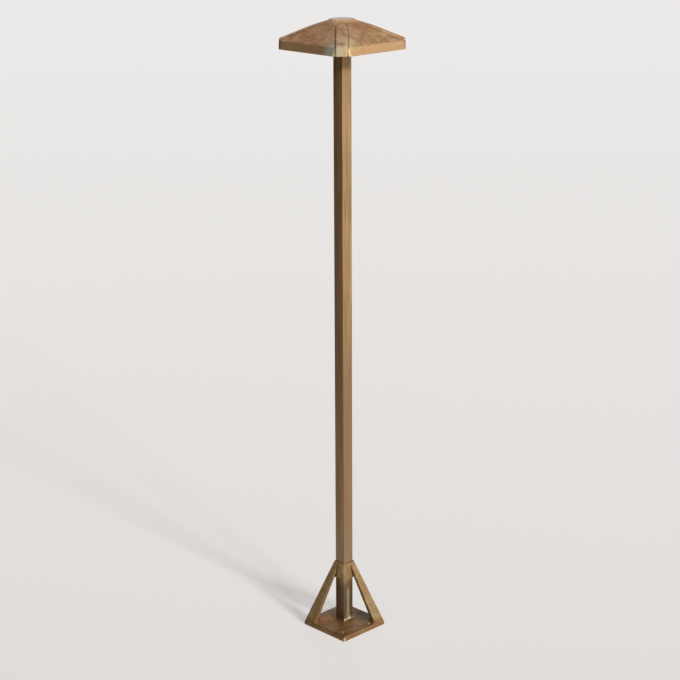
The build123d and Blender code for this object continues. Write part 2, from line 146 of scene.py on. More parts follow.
def casting_grain():
    """Height of a sand casting: soft waves, fine grain and a few pits."""
    vector = ("Vector", "NodeSocketVector", (0, 0, 0))
    grain = ("Grain Size", "NodeSocketFloat", 0.0009)
    tree, given, made = effect("casting_grain", [vector, grain], ["Height", "Pits"])
    waves = noise(tree, given["Vector"], 0.011, 2)
    fine = noise(tree, given["Vector"], given["Grain Size"], 3, 0.6)
    cells = {"Vector": given["Vector"], "Scale": 1 / 0.0042, "Randomness": 1.0}
    pits = add(tree, "ShaderNodeTexVoronoi", cells).outputs["Distance"]
    pit = spread(tree, pits, 0.05, 0.16, 1.0, 0.0)
    height = compute(tree, "MULTIPLY_ADD", waves, 2.4, fine)
    tree.links.new(compute(tree, "MULTIPLY_ADD", pit, -0.5, height), made["Height"])
    tree.links.new(pit, made["Pits"])
    return tree


weathering_effect = weathering()
relief_effect = relief()
grain_effect = casting_grain()


def material(name, **constants):
    """A new material with these constants on its shader, its tree and its Object coordinates."""
    made = bpy.data.materials.new(name)
    made.use_nodes = True
    shader = made.node_tree.nodes["Principled BSDF"]
    for key, value in constants.items():
        shader.inputs[key.replace("_", " ").title().replace("Ior", "IOR")].default_value = value
    place = add(made.node_tree, "ShaderNodeTexCoord").outputs["Object"]
    return made, made.node_tree, shader, place


def textured(tree, shader, height, strength, distance):
    """A bump of this height on the shader."""
    bump = add(tree, "ShaderNodeBump", {"Height": height, "Strength": strength, "Distance": distance})
    tree.links.new(bump.outputs["Normal"], shader.inputs["Normal"])


def run_off():
    """Streaks down from the middle of a roof, as rain leaves them."""
    vector = ("Vector", "NodeSocketVector", (0, 0, 0))
    tree, given, made = effect("run_off", [vector], ["Streaks"])
    split = add(tree, "ShaderNodeSeparateXYZ", {0: given["Vector"]}).outputs
    flat = add(tree, "ShaderNodeCombineXYZ", {0: split["X"], 1: split["Y"]}).outputs[0]
    away = add(tree, "ShaderNodeVectorMath", {0: flat}, operation="NORMALIZE").outputs[0]
    level = add(tree, "ShaderNodeCombineXYZ", {2: compute(tree, "MULTIPLY", split["Z"], 3.0)}).outputs[0]
    line = add(tree, "ShaderNodeVectorMath", {0: away, 1: (0.07, 0.07, 0.07), 2: level}, operation="MULTIPLY_ADD")
    tree.links.new(spread(tree, noise(tree, line.outputs[0], 0.0075, 4, 0.6, 0.4), 0.4, 0.66), made["Streaks"])
    return tree


run_off_effect = run_off()


def aged_brass(name, palette, patch_size, stains_and_painted_light=(), low_tone=None, rain=0.0):
    """Cast brass with a brown skin, worn pale in patches, pale on its crests from wear and a painted highlight, dark
    in its hollows.

    The palette is pale, brown, warm, dark and green. A mark, a real stain or a painted shadow, highlight or
    reflection, is a colour, a place, the two distances from it at which it is full and gone, how ragged its edge
    is and its share. The low tone is a colour, the two heights at which it is full and gone, and its share. Rain
    is the share of its streaks. A mesh attribute named groove, where there is one, darkens what it marks."""
    pale, brown, warm, dark, green = palette
    made, tree, shader, place = material(name, specular_ior_level=0.25)
    weather = add(tree, "ShaderNodeGroup", {"Vector": place, "Patch Size": patch_size}, node_tree=weathering_effect)
    edges = add(tree, "ShaderNodeGroup", {"Crest Width": 0.0018}, node_tree=relief_effect)
    grain = add(tree, "ShaderNodeGroup", {"Vector": place}, node_tree=grain_effect)
    colour = between(tree, weather.outputs["Patches"], brown, pale)
    colour = between(tree, compute(tree, "MULTIPLY", weather.outputs["Drift"], 0.5), colour, warm)
    colour = between(tree, compute(tree, "MULTIPLY", weather.outputs["Smears"], 0.35), colour, pale)
    colour = between(tree, compute(tree, "MULTIPLY", weather.outputs["Specks"], 0.3), colour, green)
    dull = compute(tree, "MULTIPLY", weather.outputs["Specks"], 0.2)
    if rain:
        wet = add(tree, "ShaderNodeGroup", {"Vector": place}, node_tree=run_off_effect).outputs["Streaks"]
        colour = between(tree, compute(tree, "MULTIPLY", wet, rain), colour, warm)
    if low_tone:
        tone, full, gone, share = low_tone
        level = add(tree, "ShaderNodeSeparateXYZ", {0: place}).outputs["Z"]
        colour = between(tree, spread(tree, level, gone, full, 0.0, share), colour, tone)
    # Each mark here is a real stain or a painted shadow, highlight or reflection.
    for tone, centre, full, gone, raggedness, most in stains_and_painted_light:
        away = add(tree, "ShaderNodeVectorMath", {0: place, 1: centre}, operation="DISTANCE").outputs["Value"]
        ragged = compute(tree, "MULTIPLY_ADD", weather.outputs["Patches"], -raggedness, away)
        share = spread(tree, ragged, gone, full, 0.0, most)
        colour = between(tree, share, colour, tone)
        dull = compute(tree, "MAXIMUM", dull, share)
    # Pale crests: edge wear and a painted highlight along the edges.
    colour = between(tree, compute(tree, "MULTIPLY", edges.outputs["Crest"], 0.55), colour, pale)
    groove = add(tree, "ShaderNodeAttribute", attribute_name="groove").outputs["Fac"]
    dirt = compute(tree, "MAXIMUM", compute(tree, "MULTIPLY", edges.outputs["Hollow"], 0.8), groove)
    colour = between(tree, dirt, colour, dark)
    tree.links.new(colour, shader.inputs["Base Color"])
    dull = compute(tree, "MAXIMUM", dull, groove)
    tree.links.new(spread(tree, dull, 0.0, 1.0, 0.55, 0.2), shader.inputs["Metallic"])
    rough = spread(tree, weather.outputs["Patches"], 0.0, 1.0, 0.52, 0.40)
    rough = compute(tree, "MULTIPLY_ADD", edges.outputs["Crest"], -0.08, rough)
    tree.links.new(rough, shader.inputs["Roughness"])
    textured(tree, shader, grain.outputs["Height"], 0.5, 0.00012)
    return made


def finished(piece):
    """The piece with its modifiers applied."""
    view = bpy.context.evaluated_depsgraph_get()
    mesh = bpy.data.meshes.new_from_object(piece.evaluated_get(view))
    mesh.name = piece.name
    piece.modifiers.clear()
    piece.data = mesh
    return piece


def from_work(name, work):
    """A piece of the scene from a worked mesh."""
    mesh = bpy.data.meshes.new(name)
    work.to_mesh(mesh)
    work.free()
    mesh.shade_smooth()
    piece = bpy.data.objects.new(name, mesh)
    bpy.context.scene.collection.objects.link(piece)
    return piece


def softened(node, name, width, segments=2):
    """A copy of a CAD piece with its flat facets merged and its edges rounded."""
    source = nodes[node].data
    work = bmesh.new()
    points = [work.verts.new(vertex.co) for vertex in source.vertices]
    for face in source.polygons:
        work.faces.new([points[index] for index in face.vertices])
    bmesh.ops.remove_doubles(work, verts=work.verts, dist=2e-6)
    bmesh.ops.dissolve_degenerate(work, edges=work.edges, dist=1e-6)
    bmesh.ops.dissolve_limit(work, angle_limit=radians(0.5), verts=work.verts, edges=work.edges)
    piece = from_work(name, work)
    bevel = piece.modifiers.new("round edges", "BEVEL")
    bevel.width = width
    bevel.segments = segments
    bevel.limit_method = "ANGLE"
    bevel.angle_limit = radians(32)
    bevel.miter_outer = "MITER_ARC"
    piece.modifiers.new("even shading", "WEIGHTED_NORMAL")
    return finished(piece)


def place_piece(piece, body, slot, finish, *replaced):
    """Gives a piece its material and its body, and hides the CAD nodes that it stands for. The slot is not used."""
    piece.data.materials.clear()
    piece.data.materials.append(finish)
    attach(piece, body)
    if replaced:
        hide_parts(*replaced)
    return piece


foot_palette = [seen(182, 153, 110), seen(136, 116, 84), seen(142, 104, 66), seen(56, 46, 36), seen(126, 126, 100)]
plate_tone = (seen(120, 84, 50), 0.010, 0.017, 0.65)
foot_marks_and_painted_light = [
    # Painted shadow: a dark patch on the rear of the foot, where the right leg and the post shade it.
    (seen(48, 36, 30), (0.010, 0.033, 0.008), 0.010, 0.026, 0.004, 0.6),
    (seen(168, 108, 62), (-0.020, -0.026, 0.010), 0.003, 0.016, 0.006, 0.35),
    # Painted highlights: two small pale spots at the inner feet of the legs.
    (seen(226, 206, 170), (0.0375, 0.0165, 0.0072), 0.0009, 0.0022, 0.0, 0.85),
    (seen(214, 190, 150), (-0.0205, -0.0400, 0.0072), 0.0009, 0.0020, 0.0, 0.6),
    # Pale patch on the front corner of the foot: a painted highlight with some wear.
    (seen(220, 198, 160), (0.0445, -0.0445, 0.003), 0.0010, 0.0032, 0.001, 0.7),
]
foot_brass = aged_brass("aged_cast_brass_foot", foot_palette, 0.013, foot_marks_and_painted_light, plate_tone)
foot_and_legs = softened("base_casting", "foot_and_legs", 0.00045, 3)
place_piece(foot_and_legs, "stand", "aged_brass_casting", foot_brass, "base_casting")


# Post tube.
# A straight length of drawn square brass tube. Its corners are rounded by the drawing die and years of rain
# have left long streaks down its faces. Its right face has a painted highlight where it meets the foot and a
# pale painted reflection just above, and the post has painted shade below the collar.

post_corner = 0.0012
post_wall = 0.00165
post_inner_corner = 0.0004
post_edge = 0.0003
corner_steps = 6


def skin(name, rings, joined=False):
    """A closed mesh over rings of equal counts, joined end to end or closed by a pole at each end."""
    count = len(rings[0])
    work = bmesh.new()
    loops = [[work.verts.new(point) for point in ring] for ring in rings]
    pairs = list(zip(loops, loops[1:]))
    if joined:
        pairs.append((loops[-1], loops[0]))
    else:
        for loop in (loops[0], loops[-1]):
            middle = sum((vertex.co for vertex in loop), Vector()) / count
            pole = work.verts.new(middle)
            for index in range(count):
                work.faces.new((loop[index - 1], loop[index], pole))
    for low, high in pairs:
        for index in range(count):
            work.faces.new((low[index - 1], low[index], high[index], high[index - 1]))
    bmesh.ops.remove_doubles(work, verts=work.verts, dist=1e-7)
    bmesh.ops.recalc_face_normals(work, faces=work.faces)
    piece = from_work(name, work)
    piece.data.set_sharp_from_angle(angle=radians(40))
    return piece


def rounded_square(half, corner, level):
    """Ring of points round a square with rounded corners."""
    ring = []
    for quarter in range(4):
        start = pi / 2 * quarter
        middle = Matrix.Rotation(start, 3, "Z") @ Vector((half - corner, half - corner, 0))
        for step in range(corner_steps + 1):
            angle = start + pi / 2 * step / corner_steps
            ring.append((middle.x + corner * cos(angle), middle.y + corner * sin(angle), level))
    return ring


def brushing():
    """Long streaks along Z, fine ones and broad ones."""
    vector = ("Vector", "NodeSocketVector", (0, 0, 0))
    tree, given, made = effect("brushing", [vector], ["Fine", "Broad"])
    drawn = add(tree, "ShaderNodeMapping", {"Vector": given["Vector"], "Scale": (1, 1, 0.012)}).outputs[0]
    tree.links.new(noise(tree, drawn, 0.0007, 4, 0.65), made["Fine"])
    run = add(tree, "ShaderNodeMapping", {"Vector": given["Vector"], "Scale": (1, 1, 0.045)}).outputs[0]
    tree.links.new(spread(tree, noise(tree, run, 0.0042, 3, 0.55, 0.2), 0.32, 0.68), made["Broad"])
    return tree


brushing_effect = brushing()


def tube_brass():
    """Drawn brass with streaks, darker towards the ground, with painted shade below the collar, a painted highlight
    low on its right face and a pale painted reflection above that highlight.
    """
    made, tree, shader, place = material("aged_drawn_brass", metallic=0.55)
    streaks = add(tree, "ShaderNodeGroup", {"Vector": place}, node_tree=brushing_effect)
    weather = add(tree, "ShaderNodeGroup", {"Vector": place, "Patch Size": 0.03}, node_tree=weathering_effect)
    split = add(tree, "ShaderNodeSeparateXYZ", {0: place}).outputs
    colour = between(tree, streaks.outputs["Broad"], seen(158, 124, 84), seen(196, 158, 112))
    lines = compute(tree, "MULTIPLY", spread(tree, streaks.outputs["Fine"], 0.45, 0.7), 0.45)
    colour = between(tree, lines, colour, seen(124, 92, 58))
    level = compute(tree, "MULTIPLY_ADD", weather.outputs["Drift"], 0.05, split["Z"])
    colour = between(tree, spread(tree, level, 0.6, 0.38, 0.0, 0.8), colour, seen(136, 109, 80))
    colour = between(tree, spread(tree, level, 0.28, 0.16, 0.0, 0.8), colour, seen(144, 130, 102))
    elsewhere = add(tree, "ShaderNodeGroup", {"Vector": shifted(tree, place, (0.37, 0.11, 0.0))}, node_tree=brushing_effect)
    rust = compute(tree, "MULTIPLY", spread(tree, level, 0.36, 0.2, 0.0, 0.7), elsewhere.outputs["Broad"])
    colour = between(tree, rust, colour, seen(146, 98, 64))
    # Painted shade: dark brown on the post below the collar, between the legs.
    colour = between(tree, spread(tree, split["Z"], 0.082, 0.066, 0.0, 0.8), colour, seen(86, 68, 48))
    dull = compute(tree, "MULTIPLY", weather.outputs["Drift"], 0.3)
    colour = between(tree, dull, colour, seen(138, 112, 80))
    # Painted highlight: a silver-white band low on the right face, where the post meets the foot.
    ragged = compute(tree, "MULTIPLY_ADD", streaks.outputs["Broad"], 0.006, split["Z"])
    near_foot = spread(tree, ragged, post_low.z + 0.012, post_low.z + 0.006)
    on_right = spread(tree, split["X"], post_high.x - 0.0008, post_high.x - 0.0003)
    foot_highlight = compute(tree, "MULTIPLY", near_foot, on_right)
    # Painted reflection: a pale creamy streak up the middle of the right face, just above the foot.
    wander = compute(tree, "MULTIPLY_ADD", elsewhere.outputs["Broad"], 0.003, split["Y"])
    middle = spread(tree, compute(tree, "ABSOLUTE", wander), 0.0032, 0.0012)
    reflection_band = compute(tree, "MULTIPLY", spread(tree, split["Z"], 0.074, 0.056), compute(tree, "MULTIPLY", middle, on_right))
    painted_reflection = compute(tree, "MULTIPLY", reflection_band, spread(tree, streaks.outputs["Fine"], 0.42, 0.6, 0.1, 0.7))
    colour = between(tree, painted_reflection, colour, seen(216, 202, 170))
    colour = between(tree, compute(tree, "MULTIPLY", foot_highlight, 0.9), colour, seen(244, 240, 222))
    tree.links.new(colour, shader.inputs["Base Color"])
    rough = spread(tree, streaks.outputs["Broad"], 0.0, 1.0, 0.48, 0.36)
    tree.links.new(compute(tree, "MULTIPLY_ADD", foot_highlight, -0.08, rough), shader.inputs["Roughness"])
    textured(tree, shader, streaks.outputs["Fine"], 0.25, 0.00008)
    return made


post_low, post_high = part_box("post_tube")
post_inner = post_high.x - post_wall
post_rings = [
    rounded_square(post_high.x - post_edge, post_corner, post_low.z),
    rounded_square(post_high.x, post_corner, post_low.z + post_edge),
    rounded_square(post_high.x, post_corner, post_high.z - post_edge),
    rounded_square(post_high.x - post_edge, post_corner, post_high.z),
    rounded_square(post_inner, post_inner_corner, post_high.z),
    rounded_square(post_inner, post_inner_corner, post_low.z),
]
square_post = skin("square_post", post_rings, joined=True)
place_piece(square_post, "stand", "aged_brass_tube", tube_brass(), "post_tube")


# Foot fixings.
# A brass plug is brazed into the lower end of the post. A hollow threaded nipple screws into it from below
# and, with a washer and a thin nut under the web of the foot, pulls the post down. Turned from bar.

def turning():
    """Fine rings round the Z axis, as a lathe tool leaves them on ends and sides."""
    vector = ("Vector", "NodeSocketVector", (0, 0, 0))
    pitch = ("Pitch", "NodeSocketFloat", 0.0003)
    tree, given, made = effect("turning", [vector, pitch], ["Rings"])
    split = add(tree, "ShaderNodeSeparateXYZ", {0: given["Vector"]}).outputs
    flat = add(tree, "ShaderNodeCombineXYZ", {0: split["X"], 1: split["Y"]}).outputs[0]
    out = add(tree, "ShaderNodeVectorMath", {0: flat}, operation="LENGTH").outputs["Value"]
    section = add(tree, "ShaderNodeCombineXYZ", {0: out, 1: split["Z"]}).outputs[0]
    tree.links.new(noise(tree, section, given["Pitch"], 2), made["Rings"])
    return tree


turning_effect = turning()


def turned_brass(name, pale, dark, middle=(0, 0), pitch=0.0003):
    """Turned brass with tool marks round its middle, brighter on its edges and dull in its corners."""
    made, tree, shader, place = material(name, metallic=0.85)
    centred = shifted(tree, place, (-middle[0], -middle[1], 0))
    marks = add(tree, "ShaderNodeGroup", {"Vector": centred, "Pitch": pitch}, node_tree=turning_effect)
    weather = add(tree, "ShaderNodeGroup", {"Vector": place, "Patch Size": 0.006}, node_tree=weathering_effect)
    widths = {"Crest Width": 0.0005, "Hollow Width": 0.0016}
    edges = add(tree, "ShaderNodeGroup", widths, node_tree=relief_effect)
    colour = between(tree, weather.outputs["Patches"], dark, pale)
    colour = between(tree, spread(tree, marks.outputs["Rings"], 0.5, 0.75, 0.0, 0.35), colour, dark)
    colour = between(tree, compute(tree, "MULTIPLY", edges.outputs["Hollow"], 0.6), colour, seen(92, 66, 38))
    colour = between(tree, compute(tree, "MULTIPLY", edges.outputs["Crest"], 0.6), colour, pale)
    tree.links.new(colour, shader.inputs["Base Color"])
    tree.links.new(spread(tree, weather.outputs["Patches"], 0.0, 1.0, 0.4, 0.27), shader.inputs["Roughness"])
    textured(tree, shader, marks.outputs["Rings"], 0.3, 0.00003)
    return made


def circle(radius, level, middle=(0, 0), steps=48):
    """Ring of points round a turned piece."""
    x, y = middle
    turns = [2 * pi * step / steps for step in range(steps)]
    return [Vector((x + radius * cos(turn), y + radius * sin(turn), level)) for turn in turns]


def turned(name, outline, middle=(0, 0), hollow=False, steps=48):
    """A turned piece from the radius and level of each point of its outline."""
    return skin(name, [circle(radius, level, middle, steps) for radius, level in outline], hollow)


def wall_outline(inner, outer, low, high, soft, steps=4):
    """Outline of a ring's wall with rounded corners, once round."""
    corners = [(outer - soft, low + soft, -90), (outer - soft, high - soft, 0),
               (inner + soft, high - soft, 90), (inner + soft, low + soft, 180)]
    outline = []
    for radius, level, start in corners:
        for step in range(steps + 1):
            angle = radians(start + 90 * step / steps)
            outline.append((radius + soft * cos(angle), level + soft * sin(angle)))
    return outline


def form(name, inputs):
    """An empty Geometry Nodes tree with these named inputs, and its two end nodes."""
    tree = bpy.data.node_groups.new(name, "GeometryNodeTree")
    tree.interface.new_socket(name="Geometry", in_out="INPUT", socket_type="NodeSocketGeometry")
    for label, kind, value in inputs + [("Material", "NodeSocketMaterial", None)]:
        socket = tree.interface.new_socket(name=label, in_out="INPUT", socket_type=kind)
        if value is not None:
            socket.default_value = value
    tree.interface.new_socket(name="Geometry", in_out="OUTPUT", socket_type="NodeSocketGeometry")
    return tree, add(tree, "NodeGroupInput").outputs, add(tree, "NodeGroupOutput").inputs


def completed(tree, given, made, parts):
    """Joins the parts with what the tree was given, makes them real and gives them the material."""
    whole = add(tree, "GeometryNodeJoinGeometry")
    for part in parts:
        tree.links.new(part, whole.inputs[0])
    real = add(tree, "GeometryNodeRealizeInstances", {0: whole.outputs[0]})
    painted = add(tree, "GeometryNodeSetMaterial", {"Geometry": real.outputs[0], "Material": given["Material"]})
    tree.links.new(painted.outputs[0], made["Geometry"])
    return tree


def shaped(piece, tree, finish, **sizes):
    """The piece as a plain mesh after a Geometry Nodes tree with these sizes."""
    change = piece.modifiers.new(tree.name, "NODES")
    change.node_group = tree
    values = {key.replace("_", " ").title(): value for key, value in sizes.items()}
    values["Material"] = finish
    for item in tree.interface.items_tree:
        if item.in_out == "INPUT" and item.name in values:
            change[item.identifier] = values[item.name]
    finished(piece)
    work = bmesh.new()
    work.from_mesh(piece.data)
    bmesh.ops.recalc_face_normals(work, faces=work.faces)
    work.to_mesh(piece.data)
    work.free()
    piece.data.shade_smooth()
    piece.data.set_sharp_from_angle(angle=radians(40))
    return piece


def screw_thread():
    """A rolled thread on a core: a round ridge wound up it, half sunk in."""
    tree, given, made = form("screw_thread", [
        ("Core Radius", "NodeSocketFloat", 0.0046), ("Ridge", "NodeSocketFloat", 0.0003),
        ("Pitch", "NodeSocketFloat", 0.001), ("Length", "NodeSocketFloat", 0.01),
        ("Start", "NodeSocketVector", (0, 0, 0))])
    turns = compute(tree, "DIVIDE", given["Length"], given["Pitch"])
    helix = add(tree, "GeometryNodeCurveSpiral", {
        "Resolution": 24, "Rotations": turns, "Start Radius": given["Core Radius"],
        "End Radius": given["Core Radius"], "Height": given["Length"]})
    section = add(tree, "GeometryNodeCurvePrimitiveCircle", {"Resolution": 6, "Radius": given["Ridge"]}, mode="RADIUS")
    ridge = add(tree, "GeometryNodeCurveToMesh", {
        "Curve": helix.outputs[0], "Profile Curve": section.outputs["Curve"], "Fill Caps": True})
    moved = add(tree, "GeometryNodeTransform", {"Geometry": ridge.outputs[0], "Translation": given["Start"]})
    return completed(tree, given, made, [given["Geometry"], moved.outputs[0]])


thread_tree = screw_thread()
foot_turned_brass = turned_brass("turned_brass_foot_fixings", seen(206, 172, 112), seen(168, 130, 76))
thread_ridge = 0.00028
nipple_low, nipple_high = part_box("cable_nipple")
nipple_core = nipple_high.x - thread_ridge
nipple_bore = 0.0036
nipple_outline = wall_outline(nipple_bore, nipple_core, nipple_low.z, nipple_high.z, 0.0002)
cable_nipple = shaped(
    turned("threaded_nipple", nipple_outline, hollow=True), thread_tree, foot_turned_brass, core_radius=nipple_core,
    ridge=thread_ridge, pitch=0.001, length=nipple_high.z - nipple_low.z - 0.0012,
    start=(0, 0, nipple_low.z + 0.0006))
place_piece(cable_nipple, "stand", "turned_brass", foot_turned_brass, "cable_nipple")
post_plug = softened("foot_plug", "post_plug", 0.0003)
place_piece(post_plug, "stand", "turned_brass", foot_turned_brass, "foot_plug")
washer_low, washer_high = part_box("nipple_washer")
washer_outline = wall_outline(0.00508, washer_high.x, washer_low.z, washer_high.z, 0.0002)
foot_washer = turned("foot_washer", washer_outline, hollow=True)
place_piece(foot_washer, "stand", "turned_brass", foot_turned_brass, "nipple_washer")
thin_nut = softened("nipple_nut", "thin_nut", 0.0003)
place_piece(thin_nut, "stand", "turned_brass", foot_turned_brass, "nipple_nut")


# Cable grommet.
# A black rubber bush pushed into the lower end of the nipple, where the supply cable would go in.

def matt_rubber(name, base, dusty, dust_share):
    """Moulded rubber with a fine skin and dust in patches."""
    made, tree, shader, place = material(name, specular_ior_level=0.35)
    weather = add(tree, "ShaderNodeGroup", {"Vector": place, "Patch Size": 0.004}, node_tree=weathering_effect)
    dust = compute(tree, "MULTIPLY", weather.outputs["Patches"], dust_share)
    tree.links.new(between(tree, dust, base, dusty), shader.inputs["Base Color"])
    tree.links.new(spread(tree, weather.outputs["Patches"], 0.0, 1.0, 0.6, 0.82), shader.inputs["Roughness"])
    textured(tree, shader, noise(tree, place, 0.0002, 2), 0.3, 0.00003)
    return made


black_rubber = matt_rubber("black_rubber", seen(34, 34, 35), seen(88, 84, 78), 0.4)
inlet_bush = softened("cable_grommet", "inlet_bush", 0.00018)
place_piece(inlet_bush, "stand", "black_rubber", black_rubber, "cable_grommet")


# Collar set screws and head screws.
# Blackened hexagon socket screws. Two in the back faces of the collar bite on the post, and two button
# heads near its top hold the spigot of the head plate.

def blackened_steel():
    """Blackened steel, a little brown, with bright worn edges."""
    made, tree, shader, place = material("blackened_steel", metallic=0.85)
    weather = add(tree, "ShaderNodeGroup", {"Vector": place, "Patch Size": 0.002}, node_tree=weathering_effect)
    widths = {"Crest Width": 0.0004, "Hollow Width": 0.0012}
    edges = add(tree, "ShaderNodeGroup", widths, node_tree=relief_effect)
    colour = between(tree, weather.outputs["Patches"], seen(48, 45, 42), seen(70, 62, 54))
    colour = between(tree, compute(tree, "MULTIPLY", edges.outputs["Hollow"], 0.7), colour, seen(30, 26, 24))
    colour = between(tree, compute(tree, "MULTIPLY", edges.outputs["Crest"], 0.6), colour, seen(128, 120, 112))
    tree.links.new(colour, shader.inputs["Base Color"])
    tree.links.new(spread(tree, weather.outputs["Patches"], 0.0, 1.0, 0.34, 0.5), shader.inputs["Roughness"])
    textured(tree, shader, noise(tree, place, 0.0003, 2), 0.2, 0.00002)
    return made


dark_steel = blackened_steel()
set_screws = softened("collar_set_screws", "set_screws", 0.0002)
place_piece(set_screws, "stand", "dark_steel", dark_steel, "collar_set_screws")
button_screws = softened("head_screws", "button_screws", 0.00018)
place_piece(button_screws, "stand", "dark_steel", dark_steel, "head_screws")


# Head plate and spigot.
# A square plate of milled brass with a block brazed under it that fits the top of the post. It takes the
# lamp socket, the lower seal of the glass and the two thumb screws of the hat.

head_brass = turned_brass("milled_brass_head", seen(192, 156, 100), seen(150, 114, 68), pitch=0.0005)
square_plate = softened("head_plate", "square_plate", 0.0004, 3)
place_piece(square_plate, "stand", "turned_brass", head_brass, "head_plate")
post_spigot = softened("head_spigot", "post_spigot", 0.0002)
place_piece(post_spigot, "stand", "turned_brass", head_brass, "head_spigot")


# Lamp socket.
# A white ceramic body with a spring contact in each of its two cells. A nickel plated ring with two
# slotted screws clamps its shoulder in the plate.

def unglazed_ceramic():
    """Pressed ceramic, matt, with a fine grain, faint staining and small dark specks."""
    made, tree, shader, place = material("unglazed_ceramic", specular_ior_level=0.4)
    weather = add(tree, "ShaderNodeGroup", {"Vector": place, "Patch Size": 0.005}, node_tree=weathering_effect)
    edges = add(tree, "ShaderNodeGroup", {"Hollow Width": 0.0015}, node_tree=relief_effect)
    colour = between(tree, weather.outputs["Patches"], seen(228, 222, 208), seen(240, 236, 226))
    specks = spread(tree, noise(tree, place, 0.0005, 2), 0.66, 0.74, 0.0, 0.5)
    colour = between(tree, specks, colour, seen(150, 138, 120))
    colour = between(tree, compute(tree, "MULTIPLY", edges.outputs["Hollow"], 0.4), colour, seen(170, 158, 138))
    tree.links.new(colour, shader.inputs["Base Color"])
    tree.links.new(spread(tree, weather.outputs["Patches"], 0.0, 1.0, 0.55, 0.7), shader.inputs["Roughness"])
    textured(tree, shader, noise(tree, place, 0.00025, 3), 0.35, 0.00003)
    return made


def plated_steel():
    """Nickel plated steel with fine scratches and a few dull patches."""
    made, tree, shader, place = material("nickel_plated_steel", metallic=0.95)
    weather = add(tree, "ShaderNodeGroup", {"Vector": place, "Patch Size": 0.003}, node_tree=weathering_effect)
    colour = between(tree, weather.outputs["Patches"], seen(206, 203, 196), seen(184, 178, 168))
    tree.links.new(colour, shader.inputs["Base Color"])
    scratched = add(tree, "ShaderNodeMapping", {"Vector": place, "Scale": (1, 0.06, 1)}).outputs[0]
    scratches = noise(tree, scratched, 0.00012, 3, 0.6)
    tree.links.new(spread(tree, scratches, 0.3, 0.8, 0.2, 0.42), shader.inputs["Roughness"])
    textured(tree, shader, scratches, 0.15, 0.00001)
    return made


ceramic = unglazed_ceramic()
nickel = plated_steel()
ceramic_socket = softened("lamp_socket", "ceramic_socket", 0.00022)
place_piece(ceramic_socket, "stand", "white_ceramic", ceramic, "lamp_socket")
spring_contacts = softened("socket_contacts", "spring_contacts", 0.00006)
place_piece(spring_contacts, "stand", "plated_steel", nickel, "socket_contacts")
clamping_ring = softened("socket_ring", "clamping_ring", 0.00015)
place_piece(clamping_ring, "stand", "plated_steel", nickel, "socket_ring")
slotted_screws = softened("ring_screws", "slotted_screws", 0.00015)
place_piece(slotted_screws, "stand", "plated_steel", nickel, "ring_screws")


# Plug-in lamp.
# A white moulded foot with two pins, a six-sided carrier with rows of light chips, and a clear domed
# cover pushed over its neck. Each chip is a white cup filled with yellow phosphor.

def moulded_plastic(name, pale, shade):
    """Moulded plastic with a fine spark texture, a little yellow in its corners."""
    made, tree, shader, place = material(name, specular_ior_level=0.5)
    weather = add(tree, "ShaderNodeGroup", {"Vector": place, "Patch Size": 0.008}, node_tree=weathering_effect)
    edges = add(tree, "ShaderNodeGroup", {"Hollow Width": 0.0015}, node_tree=relief_effect)
    colour = between(tree, compute(tree, "MULTIPLY", weather.outputs["Patches"], 0.5), pale, shade)
    colour = between(tree, compute(tree, "MULTIPLY", edges.outputs["Hollow"], 0.4), colour, shade)
    tree.links.new(colour, shader.inputs["Base Color"])
    tree.links.new(spread(tree, weather.outputs["Drift"], 0.0, 1.0, 0.38, 0.5), shader.inputs["Roughness"])
    textured(tree, shader, noise(tree, place, 0.00018, 2), 0.25, 0.00002)
    return made


def phosphor():
    """Silicone filled with yellow phosphor, cloudy and glossy."""
    made, tree, shader, place = material("yellow_phosphor", coat_weight=0.4)
    cloud = spread(tree, noise(tree, place, 0.0006, 3), 0.35, 0.65)
    tree.links.new(between(tree, cloud, seen(238, 206, 84), seen(226, 182, 58)), shader.inputs["Base Color"])
    tree.links.new(spread(tree, cloud, 0.0, 1.0, 0.25, 0.4), shader.inputs["Roughness"])
    return made


def clear_plastic():
    """Clear moulded plastic, faintly smeared by fingers."""
    made, tree, shader, place = material("clear_plastic", transmission_weight=1.0, ior=1.49)
    smear = spread(tree, noise(tree, place, 0.004, 3, 0.6, 0.8), 0.45, 0.75)
    tree.links.new(between(tree, smear, seen(250, 252, 252), seen(240, 243, 242)), shader.inputs["Base Color"])
    tree.links.new(spread(tree, smear, 0.0, 1.0, 0.03, 0.16), shader.inputs["Roughness"])
    return made


